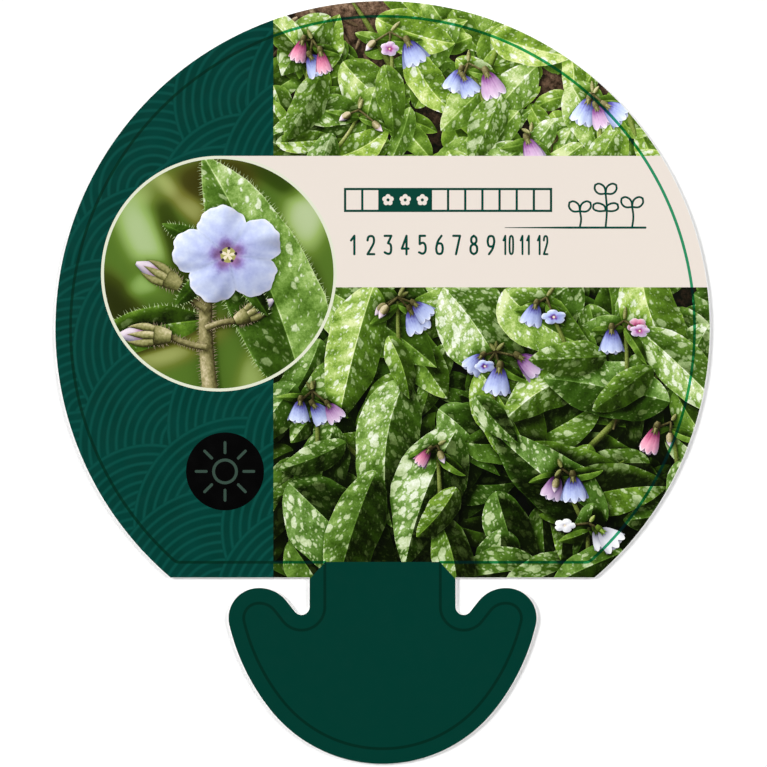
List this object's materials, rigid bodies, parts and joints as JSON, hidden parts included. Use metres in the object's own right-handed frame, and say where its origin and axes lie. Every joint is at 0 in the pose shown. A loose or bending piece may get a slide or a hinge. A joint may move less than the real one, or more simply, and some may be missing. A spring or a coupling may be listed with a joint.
{
  "type": "plant label",
  "caption": "Flat printed plastic plant label: round head, short neck and an anchor-shaped foot that clips into a slot in a pot's rim.",
  "frame": {"origin": "middle of the label's rectangle, on its back face, which lies on the surface", "axes": "+Z out of the printed face, +Y from the foot towards the round head, +X to the right as the print is read"},
  "size_m": [0.084, 0.098, 0.0005],
  "materials": {
    "printed_polypropylene": "white polypropylene sheet, printed in full colour on the front under a satin varnish, bare on the back"
  },
  "bodies": {
    "root": {"label_sheet": "printed_polypropylene"}
  },
  "joints": []
}
